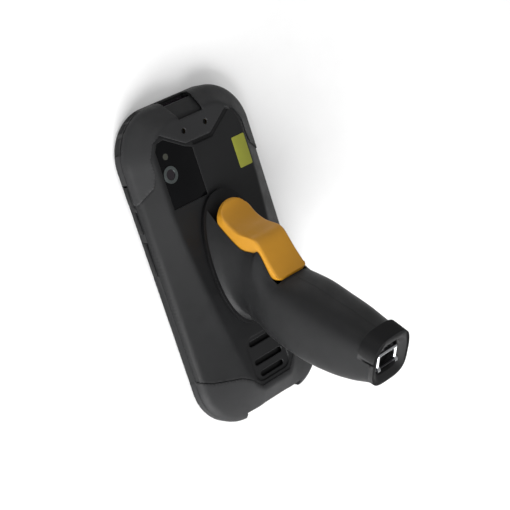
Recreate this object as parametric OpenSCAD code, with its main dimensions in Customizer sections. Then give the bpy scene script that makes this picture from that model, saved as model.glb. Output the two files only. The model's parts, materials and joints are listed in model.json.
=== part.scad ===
// Rugged handheld barcode scanner: a slab-shaped scanning computer with a pistol grip on its back.
// It lies screen down on z = 0. The scanning end points to +y and the grip leaves the back towards +z.
// The origin is the middle of the front face. All sizes are millimetres.

/* [Body] */
// Width of the housing between its side walls
body_w = 81.4; // [81:0.1:83]
// Length of the housing from the charging end to the scanning end
body_l = 163.6; // [163:0.1:166]
// Height of the back panel above the front face
back_h = 17; // [16.8:0.1:18]
// Height of the joint between front frame and rear housing
parting_z = 6.5; // [6.5:0.1:6.6]
// Corner radius at the scanning end
top_r = 24; // [23:0.5:26]
// Corner radius at the charging end
bottom_r = 23.5; // [22:0.5:25]
// Half width of the raised back panel at its widest
panel_half_w = 28.5; // [28:0.1:29]
// How far the rubber bumpers stand out from the housing
bumper_proud = 0.4; // [0.2:0.1:0.6]
// Depth of the bed that the bumpers sit in
bumper_bed = 1.1; // [0.9:0.1:1.2]
// Wall thickness of the rear housing
housing_t = 2.4; // [2.2:0.1:2.4]

/* [Openings] */
// Half distance between the two strap screws
strap_half_pitch = 7.2; // [6.5:0.1:7.5]
// Radius of the strap screw holes
strap_hole_r = 1.25; // [1:0.05:1.4]
// Half width of the scan window opening
scan_half_w = 9; // [8:0.1:9.5]
// Half width of the notch between the two feet of the charging end
dock_half_w = 19.5; // [18:0.5:21]
// Depth of the notch behind the ends of the feet
dock_depth = 3.1; // [2.5:0.1:3.2]

/* [Keys] */
// Middle of the side keys above the front face
key_z = 4.2; // [4.1:0.1:4.3]
// How far the side keys stand out
key_proud = 0.6; // [0.4:0.1:0.8]
// Travel of the side keys
key_travel = 0.4; // [0.2:0.05:0.4]

/* [Grip] */
// Angle between the handle and the straight line out of the back
grip_tilt = 29.3; // [28:0.1:31]
// Length of the straight part of the handle
grip_len = 60; // [59:0.5:61]
// Wall thickness of the grip shells
grip_t = 2.2; // [2:0.1:2.4]
// Half width of the trigger
trigger_half_w = 9.9; // [9.5:0.1:9.9]
// Gap between the trigger and the sides of its slot
trigger_gap = 0.4; // [0.4:0.1:0.6]
// Radius of the trigger's pivot pin
pin_r = 1.25; // [1.1:0.05:1.4]
// Radius of the lanyard loop's wire
bail_r = 0.9; // [0.8:0.05:0.9]

/* [Hidden] */
$fn = 48;

charcoal = "#2c2e31";
bumper_grey = "#3a3c3f";
black = "#141416";
orange = "#e59a24";
silver = "#c9ccd0";
gold = "#c8a44a";
board_green = "#1f5a3a";

// Outline sampling: steps along each side and around each corner
side_steps = 6;
corner_steps = 8;
// Ends of the raised back panel and its corner radii
panel_y0 = -70;
panel_y1 = 73;
panel_r0 = 10;
panel_r1 = 16;
// Heights of the bezel stack
glass_z = 0.5;
display_z = 1.55;
ledge_z = 2.6;
chassis_top = 3.4;
board_z = 4.6;
board_t = 1;
io_z = 5.65;
roof_z = back_h - housing_t;
bed_z = back_h - bumper_bed;
bumper_z0 = 1.5;
// Touch glass
glass_w = 70;
glass_l = 140;
glass_r = 10;
// Inside of the front frame
frame_inset = 2.7;
// Camera and flash on the back
camera_pos = [-22.6, 49.5];
flash_pos = [-22.2, 58.5];
ring_r = 4.3;
window_outline = [
    [-27, 33], [-4.8, 33], [-4.8, 57.5], [-9, 59.2], [-20.5, 66.4], [-25, 65.7], [-27, 62.5]
];
// Right half of each bumper's edge across the back
top_edge = [[60, 40], [41, 41], [32.5, 46.7], [30.5, 53], [30.5, 60], [27, 66.5], [22, 69], [8.3, 60.4]];
bottom_edge = [[60, -52], [41, -52], [34, -55.5], [19.7, -59.3], [14.8, -62.4], [10, -67.6]];
// Side keys: middle and length along y
volume_up = [44.9, 11];
volume_down = [31.9, 11];
scan_key = [13.2, 17.3];
key_h = 2.8;
key_gap = 0.15;
frame_inner_x = body_w / 2 - frame_inset;
// Floor of the notch at the charging end
dock_y = dock_depth - body_l / 2;
// Strap screws
strap_y = 66.4;
// Housing screws: two near each end
housing_screw_spots = [[29.8, 69], [-29.8, 69], [30.3, -69.4], [-30.3, -69.4]];
screw_seat = 7;
post_r = 2.3;
post_z = 4.6;
// Speaker slots: place and length
speaker_slots = [[-46, 19], [-56, 19], [-62.5, 16]];
slot_h = 2.8;
// Grip plate: middle, half length, half width and roundness of its outline
plate_y = -1.5;
plate_a = 35;
plate_b = 18.5;
plate_e = 2.2;
plate_top = back_h + 2.2;
// Start of the straight handle
grip_y0 = -25.3;
grip_z0 = 46.6;
// Half depth and half width along the straight handle
depth_at = [[0, 17.2], [13, 18], [26, 17.7], [39, 16.6], [50, 14.6], [60, 12.3], [65, 11.6]];
width_at = [[0, 16], [13, 16.8], [26, 16.4], [39, 15.4], [50, 13.9], [60, 12.5], [65, 12]];
// How far the middle of each section lies in front of the handle's axis
shift_at = [[0, -2.1], [13, -1.9], [26, -2.1], [39, -1.5], [50, -0.6], [60, 1.2], [65, 1.6]];
// Neck stations: middle y, middle z, tilt, half depth, half width, roundness
neck = [
    [plate_y, plate_top, 0, 33.5, 17, 2.2],
    [-5.5, 23.6, 7, 27, 15, 2.2],
    [-11, 29.5, 18, 23.5, 13.8, 2.3],
    [-14.1, 34.7, 23, 22.2, 14, 3.2],
    [-14.3, 37.3, 25, 23.1, 14.2, 3.2],
    [-16.4, 39, 26, 21.8, 14.5, 3.2],
    [-23.1, 42.1, 28, 18, 15.3, 3.2]
];
handle_steps = [0, 8, 17, 26, 35, 44, 52, grip_len];
handle_e = 3.2;
half_steps = 14;
stations = concat(neck, [for (k = handle_steps) handle_station(k)]);
// Trigger: pivot and side outline, from its upper tip along the front and back along the inside
pivot = [9, 25];
trigger_front = [
    [28.3, 23.9], [28, 24.8], [27, 25.5], [24.4, 26.3], [21.2, 27.9], [18.2, 30.1], [15.8, 32.7],
    [13.8, 35.6], [12.4, 39], [11.4, 42.2], [10.3, 44.8], [8.6, 46.6], [6.2, 47.8], [2.8, 48.9],
    [-1.6, 50.4], [-6, 52.2], [-9.4, 53.7], [-10.6, 54.2]
];
trigger_back = [
    [-11.9, 53.4], [-12.2, 51.4], [-10.4, 49], [-6.2, 46.6], [-3, 43], [0, 38], [2.5, 32],
    [4, 27.4], [5.2, 24.4], [8, 22.4], [14, 22.2], [24, 22.4], [27.6, 23.2]
];
// Middle of the trigger's round upper end
tip_y = 18.5;
slot_r = 35.6;
pin_reach = 12;
// Front-to-back place of the trigger's board in the handle
board_b = 6;
// End recess, in the handle's own directions
recess_w = 16.4;
recess_d = 16;
recess_depth = 7;
cap_t = 2.5;
// How far the middle of the end lies in front of the handle's axis
cap_b = 1.2;
toe_start = 53.5;
cup_k = grip_len + cap_t - recess_depth - 1.8;
bail_pivot = [-3.2, -2.7];
bail_half_w = 6.2;
bail_len = 7.8;

// --- Shapes used in several places ---

// Points of a circular arc
function on_circle(x, y, r, a) = [x + r * cos(a), y + r * sin(a)];
function arc(x, y, r, a0, a1) =
    [for (i = [0:corner_steps]) on_circle(x, y, r, a0 + (a1 - a0) * i / corner_steps)];

// One straight side, without its end points
function side(x, ya, yb) = [for (i = [1:side_steps - 1]) [x, ya + (yb - ya) * i / side_steps]];

// Rounded outline, anticlockwise: half width, lower and upper end, lower and upper corner radius
function outline(hw, y0, y1, r0, r1) = concat(
    arc(hw - r1, y1 - r1, r1, 0, 90),
    arc(r1 - hw, y1 - r1, r1, 90, 180),
    side(-hw, y1 - r1, y0 + r0),
    arc(r0 - hw, y0 + r0, r0, 180, 270),
    arc(hw - r0, y0 + r0, r0, 270, 360),
    side(hw, y0 + r0, y1 - r1)
);

// Outline of the body, grown outwards by g
function body_outline(g) =
    outline(body_w / 2 + g, -body_l / 2 - g, body_l / 2 + g, bottom_r + g, top_r + g);

// The raised panel narrows towards the charging end
function taper(y) = 1 - 10.5 / 28.5 * pow(max(0, 40 - y) / 85, 1.5);

// Outline of the raised panel, grown by g
function panel_outline(g) = [
    for (p = outline(panel_half_w + g, panel_y0 - g, panel_y1 + g, panel_r0 + g, panel_r1 + g))
        [p[0] * taper(p[1]), p[1]]
];

// Ring part of the way from the body's outline to the panel's, at height z
function back_ring(f, z, g) =
    let (a = body_outline(g), b = panel_outline(g / 2))
    [for (i = [0:len(a) - 1]) [for (c = [0:1]) a[i][c] * (1 - f) + b[i][c] * f, z]];

function ring3(r, z) = [for (p = r) [p[0], p[1], z]];

// Station of the straight handle at distance k
function axis_y(k) = grip_y0 - k * sin(grip_tilt);
function axis_z(k) = grip_z0 + k * cos(grip_tilt);
function handle_station(k) = concat(
    handle_point(k, lookup(k, shift_at)), grip_tilt, lookup(k, depth_at), lookup(k, width_at), handle_e
);

// Point of the middle plane at distance k along the handle and b in front of its axis
function handle_point(k, b) = [axis_y(k) + b * cos(grip_tilt), axis_z(k) + b * sin(grip_tilt)];

// Point of a rounded section: half depth a, half width b, roundness e, direction phi from +x
function bulge(c, e) = sign(c) * pow(abs(c), 2 / e);
function section_point(a, b, e, phi) = [b * bulge(cos(phi), e), a * bulge(sin(phi), e)];
function section(a, b, e, steps) = [for (i = [0:steps - 1]) section_point(a, b, e, 360 * i / steps)];

// Local section point p put into the plane of station s
function place(p, s) = [p[0], s[0] + p[1] * cos(s[2]), s[1] + p[1] * sin(s[2])];

// Right half of the shell's wall at station s, from back to front outside and back again inside
function half_wall(s) = concat(
    [for (i = [0:half_steps]) place(section_point(s[3], s[4], s[5], -90 + 180 * i / half_steps), s)],
    [for (i = [half_steps:-1:0])
        place(section_point(s[3] - grip_t, s[4] - grip_t, s[5], -90 + 180 * i / half_steps), s)]
);

function mirrored(p) = concat(p, [for (i = [len(p) - 1:-1:0]) [-p[i][0], p[i][1]]]);

// Point numbers raised by d
function up(f, d) = [for (i = f) i + d];

// Closed solid through rings of equal length, anticlockwise seen from the last ring
// The flat ends are strips between the two halves of a ring, which starts at its point `first`
module loft(rings, first = 0) {
    n = len(rings[0]);
    last = (len(rings) - 1) * n;
    points = [for (r = rings, p = r) p];
    sides = [
        for (k = [0:len(rings) - 2], i = [0:n - 1], t = [0:1])
            let (a = k * n + i, b = k * n + (i + 1) % n)
                t == 0 ? [a, a + n, b + n] : [a, b + n, b]
    ];
    ends = [
        for (i = [0:n / 2 - 2], t = [0:3])
            let (a = (first + i) % n, b = (a + 1) % n, d = (first + n - 1 - i) % n, c = (d + n - 1) % n)
                t == 0 ? [a, b, c] : t == 1 ? [a, c, d] : t == 2 ? up([c, b, a], last) : up([d, c, a], last)
    ];
    polyhedron(points, concat(sides, ends));
}

module prism(points, z0, z1) translate([0, 0, z0]) linear_extrude(z1 - z0) polygon(points);

module box(x0, x1, y0, y1, z0, z1) translate([x0, y0, z0]) cube([x1 - x0, y1 - y0, z1 - z0]);

module disc(x, y, r, z0, z1) translate([x, y, z0]) cylinder(r = r, h = z1 - z0);

// Flat plate with round corners, centred on x = 0
module plate(w, y0, y1, r, z0, z1) {
    box(-w / 2 + r, w / 2 - r, y0, y1, z0, z1);
    box(-w / 2, w / 2, y0 + r, y1 - r, z0, z1);
    for (x = [r - w / 2, w / 2 - r], y = [y0 + r, y1 - r]) disc(x, y, r, z0, z1);
}

// Shape drawn in the y-z plane and made w wide
module across(points, w) rotate([90, 0, 90]) translate([0, 0, -w / 2]) linear_extrude(w) polygon(points);

// Cylinder along x
module x_pin(y, z, r, x0, x1) translate([x0, y, z]) rotate([0, 90, 0]) cylinder(r = r, h = x1 - x0);

// Frame of the handle at distance k: x across, y forwards, z along the handle
module at_handle(k) translate([0, axis_y(k), axis_z(k)]) rotate([grip_tilt, 0, 0]) children();

// Solid body of the back, grown by g, from height z0
module back_solid(g, z0) loft([
    back_ring(0, z0, g),
    back_ring(0, 7 + g, g),
    back_ring(0.035, 8.4 + g, g),
    back_ring(0.11, 9.7 + g, g),
    back_ring(0.85, back_h - 1 + g, g),
    back_ring(0.95, back_h - 0.25 + g, g),
    back_ring(1, back_h + g, g)
], corner_steps / 2);

module top_region() prism(mirrored(concat([[60, 100]], top_edge)), 0, 40);
module bottom_region() prism(mirrored(concat([[60, -100]], bottom_edge)), 0, 40);

// Opening in front of the scan window
module scan_opening() across([
    [79.6, 30], [79.6, 8.4], [80.1, 3.2], [90, 3.2], [90, 30]
], 2 * scan_half_w);

module window_profile(w) across([[78.2, 8.4], [79.6, 8.4], [80.1, 3.2], [78.7, 3.2]], w);

// Notch between the feet of the charging end, its walls moved outwards by g
module dock_notch(g) box(-dock_half_w - g, dock_half_w + g, -100, dock_y + g, -1, 40);

// Upright solid inside the outline, set in by g all round, the notch included
module inset_solid(g, z0, z1) difference() {
    prism(body_outline(-g), z0, z1);
    dock_notch(g);
}

// --- Front ---

module front_frame() color(charcoal) difference() {
    loft([
        ring3(body_outline(-1.2), 0),
        ring3(body_outline(0), bumper_z0),
        ring3(body_outline(0), parting_z)
    ], corner_steps / 2);
    for (end = [0, 1]) difference() {
        intersection() {
            prism(body_outline(5), bumper_z0, 30);
            if (end == 0) top_region(); else bottom_region();
        }
        back_solid(-bumper_bed, 0);
    }
    dock_notch(0);
    plate(glass_w - 1.6, 0.8 - glass_l / 2, glass_l / 2 - 0.8, glass_r - 0.8, -1, 1);
    plate(glass_w + 0.3, -glass_l / 2 - 0.15, glass_l / 2 + 0.15, glass_r + 0.15, glass_z, ledge_z + 0.1);
    difference() {
        inset_solid(frame_inset, ledge_z, parting_z + 1);
        for (p = housing_screw_spots) disc(p[0], p[1], post_r, 0, post_z);
    }
    for (p = housing_screw_spots) disc(p[0], p[1], 0.8, 3, 20);
    gasket_shape();
    for (k = [volume_up, volume_down, scan_key], s = [-1, 1]) if (s < 0 || k != volume_down)
        key_block(k, s, key_gap, 36, 50);
    scan_opening();
    window_profile(19.8);
    usb_body(0.15, -90);
    for (s = [-1, 1], i = [0:2]) dock_pad(s * (9 + 3 * i), 1);
}

module touch_glass() color(black) difference() {
    plate(glass_w, -glass_l / 2, glass_l / 2, glass_r, glass_z, display_z);
    plate(12.2, 63.1, 64.9, 0.8, 0, 3);
}

module display_panel() color("#20242c") plate(64, -58, 58, 2, display_z, ledge_z);

module mid_chassis() color("#8d9196") difference() {
    union() {
        inset_solid(frame_inset + 0.2, ledge_z, chassis_top);
        for (s = [-1, 1], y = [1, 57]) disc(s * 30, y, 1.8, chassis_top, board_z);
        for (s = [-1, 1]) disc(s * 24, -61, 1.8, chassis_top, io_z);
    }
    for (p = housing_screw_spots) disc(p[0], p[1], post_r + 0.3, 0, 20);
    box(-5, 5, -90, -72, 0, 10);
    disc(18, 64, 3.3, 0, 10);
    box(-scan_half_w - 1.2, scan_half_w + 1.2, 76, 90, 0, 10);
    for (s = [-1, 1], k = [volume_up, volume_down, scan_key])
        box(s * 38.5 - 1.4, s * 38.5 + 1.4, k[0] - k[1] / 2 - 1, k[0] + k[1] / 2 + 1, 0, 10);
}

module earpiece_mesh() color("#55585c") plate(12.2, 63.1, 64.9, 0.8, glass_z + 0.2, display_z);

module earpiece() color(black) plate(14, 60, 66.5, 1, display_z, ledge_z);

module front_camera() color(black) union() {
    disc(18, 64, 2.2, display_z, 3);
    disc(18, 64, 3, 2.4, board_z);
}

// --- Inside ---

module main_board() color(board_green) difference() {
    union() {
        box(-34.6, 34.6, 24, 60.5, board_z, board_z + board_t);
        for (s = [-1, 1]) box(s * 30.3 - 4.3, s * 30.3 + 4.3, -2, 25, board_z, board_z + board_t);
    }
    disc(camera_pos[0], 30, 1.2, 0, 10);
}

module shield_cans() color(silver) {
    box(-14, 4, 27, 45, board_z + board_t, 7.8);
    box(7, 26, 26, 42, board_z + board_t, 7.4);
    box(8, 25, 46, 60, board_z + board_t, 7.4);
}

module io_board() color(board_green) union() {
    box(-30, 30, -66, -50, io_z, io_z + board_t);
    box(-6, 6, -75.7, -65, io_z, io_z + board_t);
}

module board_flex() color("#b06a20") {
    box(27.5, 31.5, -50, -2, board_z + 0.2, board_z + 0.4);
    box(27.5, 31.5, -51.5, -50, board_z + 0.2, io_z);
}

module battery_pack() color("#3d4a5a") {
    plate(48, -44, 22, 2, chassis_top, 10.8);
    box(-12, 12, 22, 23.6, 6, 9);
}

module scan_engine() color("#22262b") difference() {
    box(-10.5, 10.5, 61, 74.5, chassis_top, 11);
    translate([-5, 0, 7]) rotate([-90, 0, 0]) cylinder(r = 2.8, h = 90);
    box(1.5, 8, 72.5, 90, 4.5, 9.5);
}

module scan_window() color("#302226") window_profile(19.8);

module rear_camera_module() color(black) {
    x = camera_pos[0];
    y = camera_pos[1];
    box(x - 4.2, x + 4.2, y - 4.2, y + 4.2, board_z + board_t, 12);
    disc(x, y, 2.4, 12, 15.4);
}

module camera_window() color(black) difference() {
    prism(window_outline, 15.8, back_h - 0.3);
    disc(camera_pos[0], camera_pos[1], 3.1, 0, 30);
    disc(flash_pos[0], flash_pos[1], 1.55, 0, 30);
}

module camera_ring() color(silver) difference() {
    union() {
        disc(camera_pos[0], camera_pos[1], 3.1, 15.8, back_h - 0.3);
        disc(camera_pos[0], camera_pos[1], ring_r, back_h - 0.3, back_h + 0.2);
    }
    disc(camera_pos[0], camera_pos[1], 2.6, 0, 30);
}

module camera_lens() color("#10202c") disc(camera_pos[0], camera_pos[1], 2.6, 15.8, back_h - 0.2);

module flash_led() color("#e6e0c4") union() {
    disc(flash_pos[0], flash_pos[1], 1.55, 14.2, back_h - 0.2);
    disc(flash_pos[0], flash_pos[1], 2.2, 13.4, roof_z);
}

module speaker() color("#303336") plate(20, -65.5, -47, 2, 9, roof_z - 0.2);

module speaker_mesh() color("#4a4d50") plate(23, -66, -42.5, 1, roof_z - 0.2, roof_z);

module vibration_motor() color(silver) union() {
    disc(-12, 54, 4, board_z + board_t, 9);
    disc(-12, 54, 1, 9, 9.4);
}

module usb_body(c, y0) {
    translate([0, y0, 4.1]) rotate([-90, 0, 0]) linear_extrude(-73 + c - y0) union() {
        square([5.9 + 2 * c, 3.1 + 2 * c], center = true);
        for (s = [-1, 1]) translate([s * 2.95, 0]) circle(r = 1.55 + c);
    }
}

module usb_socket() color(silver) union() {
    difference() {
        usb_body(0, dock_y + 0.2);
        intersection() {
            usb_body(-0.3, -81);
            box(-10, 10, -90, -74.5, 0, 20);
        }
    }
    box(-3.3, 3.3, dock_y + 1, -74, 3.8, 4.4);
}

module dock_pad(x, c) box(x - 0.9, x + 0.9, dock_y - c, dock_y + 1.1, 3, 5.4);

module dock_contacts() color(gold) for (s = [-1, 1], i = [0:2]) dock_pad(s * (9 + 3 * i), -0.1);

module gasket_shape() difference() {
    inset_solid(1.5, parting_z - 0.5, parting_z);
    inset_solid(2.4, 0, 20);
}

module housing_gasket() color("#7a2f2a") difference() {
    gasket_shape();
    scan_opening();
    window_profile(19.8);
}

// --- Back ---

module housing_shell() difference() {
    union() {
        back_solid(0, parting_z);
        for (p = housing_screw_spots) disc(p[0], p[1], post_r, post_z, parting_z + 1);
    }
    difference() {
        back_solid(-housing_t, parting_z - 1);
        for (p = housing_screw_spots) disc(p[0], p[1], post_r, 0, 30);
        for (s = [-1, 1]) disc(s * strap_half_pitch, strap_y, 3, 11.4, 30);
    }
    for (end = [0, 1]) difference() {
        if (end == 0) top_region(); else bottom_region();
        back_solid(-bumper_bed, 0);
    }
    dock_notch(0);
    for (p = housing_screw_spots) disc(p[0], p[1], 0.95, 0, 30);
    for (p = housing_screw_spots) disc(p[0], p[1], 1.6, screw_seat, 30);
    for (s = [-1, 1]) disc(s * strap_half_pitch, strap_y, 1.9, 11.9, 30);
    prism(window_outline, 15.8, 30);
    disc(camera_pos[0], camera_pos[1], 2.8, 0, 30);
    disc(flash_pos[0], flash_pos[1], 1.55, 0, 30);
    prism([[22, 69], [8.3, 60.4], [-4, 60.4], [-4, 58.2], [9.1, 58.2], [24, 67.4]], 16.2, 30);
    plate(24, -65.8, -42.5, 5, back_h - 0.7, 30);
    for (k = speaker_slots) plate(k[1], k[0] - slot_h / 2, k[0] + slot_h / 2, 1.35, 0, 30);
    scan_opening();
    window_profile(19.8);
    for (s = [-1, 1], x = [9, 10.2]) grip_screw_spot(s, x == 9) cylinder(r = 1.3, h = 40, center = true);
    plate(18.2, -24.1, -17.9, 0.5, 15.4, 30);
}

module rear_housing() color(charcoal) union() {
    housing_shell();
    // wall behind the notch of the charging end
    across([
        [dock_y + 0.1, parting_z], [dock_y + 2, parting_z], [dock_y + 2, 9.6], [dock_y + 0.1, 8.2]
    ], 2 * dock_half_w);
}

// Skin of a bumper before its openings are cut
module bumper_skin() difference() {
    back_solid(bumper_proud, bumper_z0);
    back_solid(-bumper_bed, 0);
}

// Shallow pocket in the wall of the top bumper between two directions seen from the corner
module wall_pocket(a0, a1) difference() {
    x = body_w / 2 - top_r;
    y = body_l / 2 - top_r;
    prism([[x, y], on_circle(x, y, 99, a0), on_circle(x, y, 99, a1)], 2.6, 9.8);
    prism(body_outline(-0.7), 0, 40);
}

module top_bumper() color(bumper_grey) difference() {
    intersection() {
        bumper_skin();
        top_region();
    }
    prism([
        [1.2 - scan_half_w, 72.2], [scan_half_w - 1.2, 72.2], [scan_half_w + 2, 90], [-scan_half_w - 2, 90]
    ], 3.2, 30);
    for (s = [-1, 1]) key_block(volume_up, s, key_gap, 36, 50);
    for (s = [-1, 1]) disc(s * strap_half_pitch, strap_y, strap_hole_r, 0, 40);
    for (a = [[20, 40], [46, 59], [62, 80]], m = [0, 1]) mirror([m, 0, 0]) wall_pocket(a[0], a[1]);
}

module bottom_bumper() color(bumper_grey) difference() {
    intersection() {
        bumper_skin();
        bottom_region();
    }
    dock_notch(0);
}

module housing_screws() color(silver) for (p = housing_screw_spots) union() {
    disc(p[0], p[1], 0.8, 3, screw_seat + 0.1);
    difference() {
        disc(p[0], p[1], 1.5, screw_seat, screw_seat + 0.9);
        translate([p[0], p[1], screw_seat + 0.4]) cylinder(r = 0.8, h = 2, $fn = 6);
    }
}

module strap_inserts() color(gold) for (s = [-1, 1]) difference() {
    disc(s * strap_half_pitch, strap_y, 1.9, 11.9, bed_z);
    disc(s * strap_half_pitch, strap_y, strap_hole_r, 0, 40);
}

module rating_label() color("#a8a83c") plate_at(24, 37.5, 53.4, 8.5, back_h, back_h + 0.15);

module plate_at(x, y0, y1, w, z0, z1) translate([x, 0, 0]) plate(w, y0, y1, 0.6, z0, z1);

module back_contacts() color(gold) for (i = [-2.5:1:2.5])
    box(i * 2.6 - 0.9, i * 2.6 + 0.9, -22.5, -19.5, 15.4, 16.2);

// --- Side keys ---

// Block of a key on side s, grown by c, between two distances from the middle
module key_block(k, s, c, x0, x1) {
    xa = s > 0 ? x0 : -x1;
    half = k[1] / 2 + c;
    high = key_h / 2 + c;
    box(xa, xa + x1 - x0, k[0] - half, k[0] + half, key_z - high, key_z + high);
}

module side_key(k, s) union() {
    key_block(k, s, 0, frame_inner_x - 0.1, body_w / 2 + key_proud - 0.25);
    key_block([k[0], k[1] - 0.8], s, -0.25, body_w / 2, body_w / 2 + key_proud);
    xf = s > 0 ? frame_inner_x - 0.9 : 0.1 - frame_inner_x;
    box(xf, xf + 0.8, k[0] - k[1] / 2 - 0.8, k[0] + k[1] / 2 + 0.8, 3.6, 5.4);
}

module volume_up_key() color(black) side_key(volume_up, -1);
module volume_down_key() color(black) side_key(volume_down, -1);
module left_scan_key() color(black) side_key(scan_key, -1);
module power_key() color(black) side_key(volume_up, 1);
module right_scan_key() color(black) side_key(scan_key, 1);

module key_switches() color("#b9bcc0") for (k = [volume_up, volume_down, scan_key], s = [-1, 1])
    if (s < 0 || k != volume_down) {
        reach = frame_inner_x - 0.95 - key_travel;
        xs = s > 0 ? 34.6 : -reach;
        box(xs, xs + reach - 34.6, k[0] - 1.8, k[0] + 1.8, 3.8, 5.2);
    }

// --- Grip ---

module grip_screw_spot(s, low) translate([s * (low ? 9 : 10.2), low ? -27.5 : 18, 0]) children();

module grip_plate() color(black) difference() {
    union() {
        translate([0, plate_y, back_h]) linear_extrude(plate_top - back_h)
            polygon(section(plate_a, plate_b, plate_e, 72));
        box(-2.8, 2.8, -22, -14, plate_top - 0.5, 31);
    }
    for (s = [-1, 1], low = [true, false]) grip_screw_spot(s, low) cylinder(r = 1.25, h = plate_top - 0.4);
    x_pin(-18, 28, 1.2, -5, 5);
    plate(16.4, -23.7, -18.3, 0.5, 0, plate_top - 1);
    box(-7.6, 7.6, -23.2, -22.1, 0, 40);
}

module grip_screws() color(silver) for (s = [-1, 1], low = [true, false]) grip_screw_spot(s, low) union() {
    translate([0, 0, roof_z - 0.1]) cylinder(r = 1.25, h = plate_top - 0.4 - roof_z + 0.1);
    difference() {
        translate([0, 0, roof_z - 1.5]) cylinder(r = 2.2, h = 1.5);
        translate([0, 0, roof_z - 2]) cylinder(r = 0.9, h = 1.2, $fn = 6);
    }
}

// Space swept by the trigger, open to the front
module trigger_slot() intersection() {
    x_pin(pivot[0], pivot[1], slot_r, -trigger_half_w - trigger_gap, trigger_half_w + trigger_gap);
    across([[60, plate_top - 1], [1, plate_top - 1], [-2, 30], [-17, 48], [-17, 90], [60, 90]], 60);
}

// Toe of the end cap that wraps onto the front of the handle, grown by c
module toe(c) at_handle(0) intersection() {
    translate([0, cap_b, 0]) loft([
        ring3(section(14.6 + c, 13.7 + c, handle_e, 56), toe_start - c),
        ring3(section(13.9 + c, 12.9 + c, handle_e, 56), grip_len + cap_t)
    ]);
    box(-30, 30, 3.5 - c, 40, 0, 200);
}

// Screws that hold the two shells together: middle and how far their bosses reach sideways
shell_screw_spots = [
    [-18, 28, 12.6],
    concat(handle_point(20, -3.5), 15.6),
    concat(handle_point(44, 0), 13.6)
];
// Screws that hold the end cap: middle of the right one across and forwards
cap_screw = [5, 0.4];

module shell_half() {
    loft([for (s = stations) half_wall(s)]);
    for (p = shell_screw_spots) difference() {
        x_pin(p[0], p[1], 3, p == shell_screw_spots[0] ? 2.9 : 0, p[2]);
        if (p != shell_screw_spots[0]) x_pin(p[0], p[1], 0.9, -1, 9);
    }
    x_pin(pivot[0], pivot[1], 2.8, trigger_half_w + trigger_gap, pin_reach + 0.3);
    at_handle(0) {
        box(6, 13, board_b - 1.2, board_b, -16, -13);
        box(6, 15.2, board_b - 1.2, board_b, 6, 9);
        difference() {
            union() {
                disc(cap_screw[0], cap_screw[1], 2.2, 46, cup_k);
                box(cap_screw[0], 12.4, cap_screw[1] - 0.8, cap_screw[1] + 0.8, 46, cup_k);
            }
            disc(cap_screw[0], cap_screw[1], 1, 49, 60);
        }
    }
}

module grip_left_shell() color(charcoal) difference() {
    mirror([1, 0, 0]) shell_half();
    trigger_slot();
    x_pin(pivot[0], pivot[1], pin_r, -pin_reach, 0);
    x_pin(shell_screw_spots[0][0], shell_screw_spots[0][1], 0.9, -9, 0);
    toe(0.2);
}

module grip_right_shell() color(charcoal) difference() {
    shell_half();
    trigger_slot();
    x_pin(pivot[0], pivot[1], pin_r, 0, pin_reach);
    for (p = shell_screw_spots) x_pin(p[0], p[1], 1.1, -1, 20);
    for (p = shell_screw_spots) x_pin(p[0], p[1], 2.3, 8, 40);
    toe(0.2);
}

module shell_screws() color(silver) for (p = shell_screw_spots) union() {
    x_pin(p[0], p[1], 0.9, -8, 8.1);
    difference() {
        x_pin(p[0], p[1], 2, 8, 9.6);
        translate([9, p[0], p[1]]) rotate([0, 90, 0]) cylinder(r = 0.9, h = 2, $fn = 6);
    }
}

module trigger() color(orange) difference() {
    union() {
        across(concat(trigger_front, trigger_back), 2 * trigger_half_w - 2.4);
        across(concat([for (p = trigger_front) p + (pivot - p) / norm(pivot - p) * 1.2], trigger_back),
            2 * trigger_half_w);
    }
    x_pin(pivot[0], pivot[1], pin_r + 0.05, -20, 20);
    // rounded upper end, seen from outside
    difference() {
        box(-20, 20, 15, 40, 19, 60);
        disc(0, tip_y, trigger_half_w, 0, 80);
        box(-trigger_half_w, trigger_half_w, 0, tip_y, 0, 80);
    }
    spring_seat();
}

module trigger_pin() color(silver) x_pin(pivot[0], pivot[1], pin_r, -pin_reach, pin_reach);

// Place of the spring between board and trigger, looking forwards out of the handle
module spring_seat() at_handle(-12.6) translate([0, board_b, 0])
    rotate([-90, 0, 0]) cylinder(r = 2.9, h = 12.9);

// Helical compression spring: wire swept round by a loop
module trigger_spring() color(silver) {
    turns = 6;
    per_turn = 14;
    wire = 0.3;
    at_handle(-12.6) translate([0, board_b + 1.2, 0]) rotate([-90, 0, 0]) loft([
        for (i = [0:turns * per_turn]) let (a = 360 * i / per_turn, h = 0.32 + 8.2 * i / (turns * per_turn))
            [for (j = [0:5]) let (q = 60 * j)
                [(2.1 + wire * cos(q)) * cos(a), (2.1 + wire * cos(q)) * sin(a), h - wire * sin(q)]]
    ]);
}

module trigger_board() color(board_green) at_handle(0) box(-7, 7, board_b, board_b + 1.2, -20, 12);

module trigger_switch() color(black) at_handle(-4.5) union() {
    box(-3, 3, board_b + 1.2, board_b + 3.6, -3, 3);
    translate([0, board_b + 3.6, 0]) rotate([-90, 0, 0]) cylinder(r = 1.4, h = 0.6);
}

module grip_contact_block() color(black) union() {
    plate(16, -23.5, -18.5, 0.5, 16.4, plate_top - 1);
    for (i = [-2.5:1:2.5]) disc(i * 2.6, -21, 0.5, 16.2, 16.5);
}

// Flat cable folded from the contact block up to the trigger board
module grip_cable() color("#b06a20") across([
    [-23, plate_top - 1], [-22.3, plate_top - 1], [-23.2, 26], [-25.2, 39.6], handle_point(-5.5, board_b),
    handle_point(-4.8, board_b), [-26, 40.4], [-23.9, 26]
], 6);

// --- Handle end ---

module recess(w, d, r, z0, z1) at_handle(grip_len + cap_t) plate(w, cap_b - d / 2, cap_b + d / 2, r, z0, z1);

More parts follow.
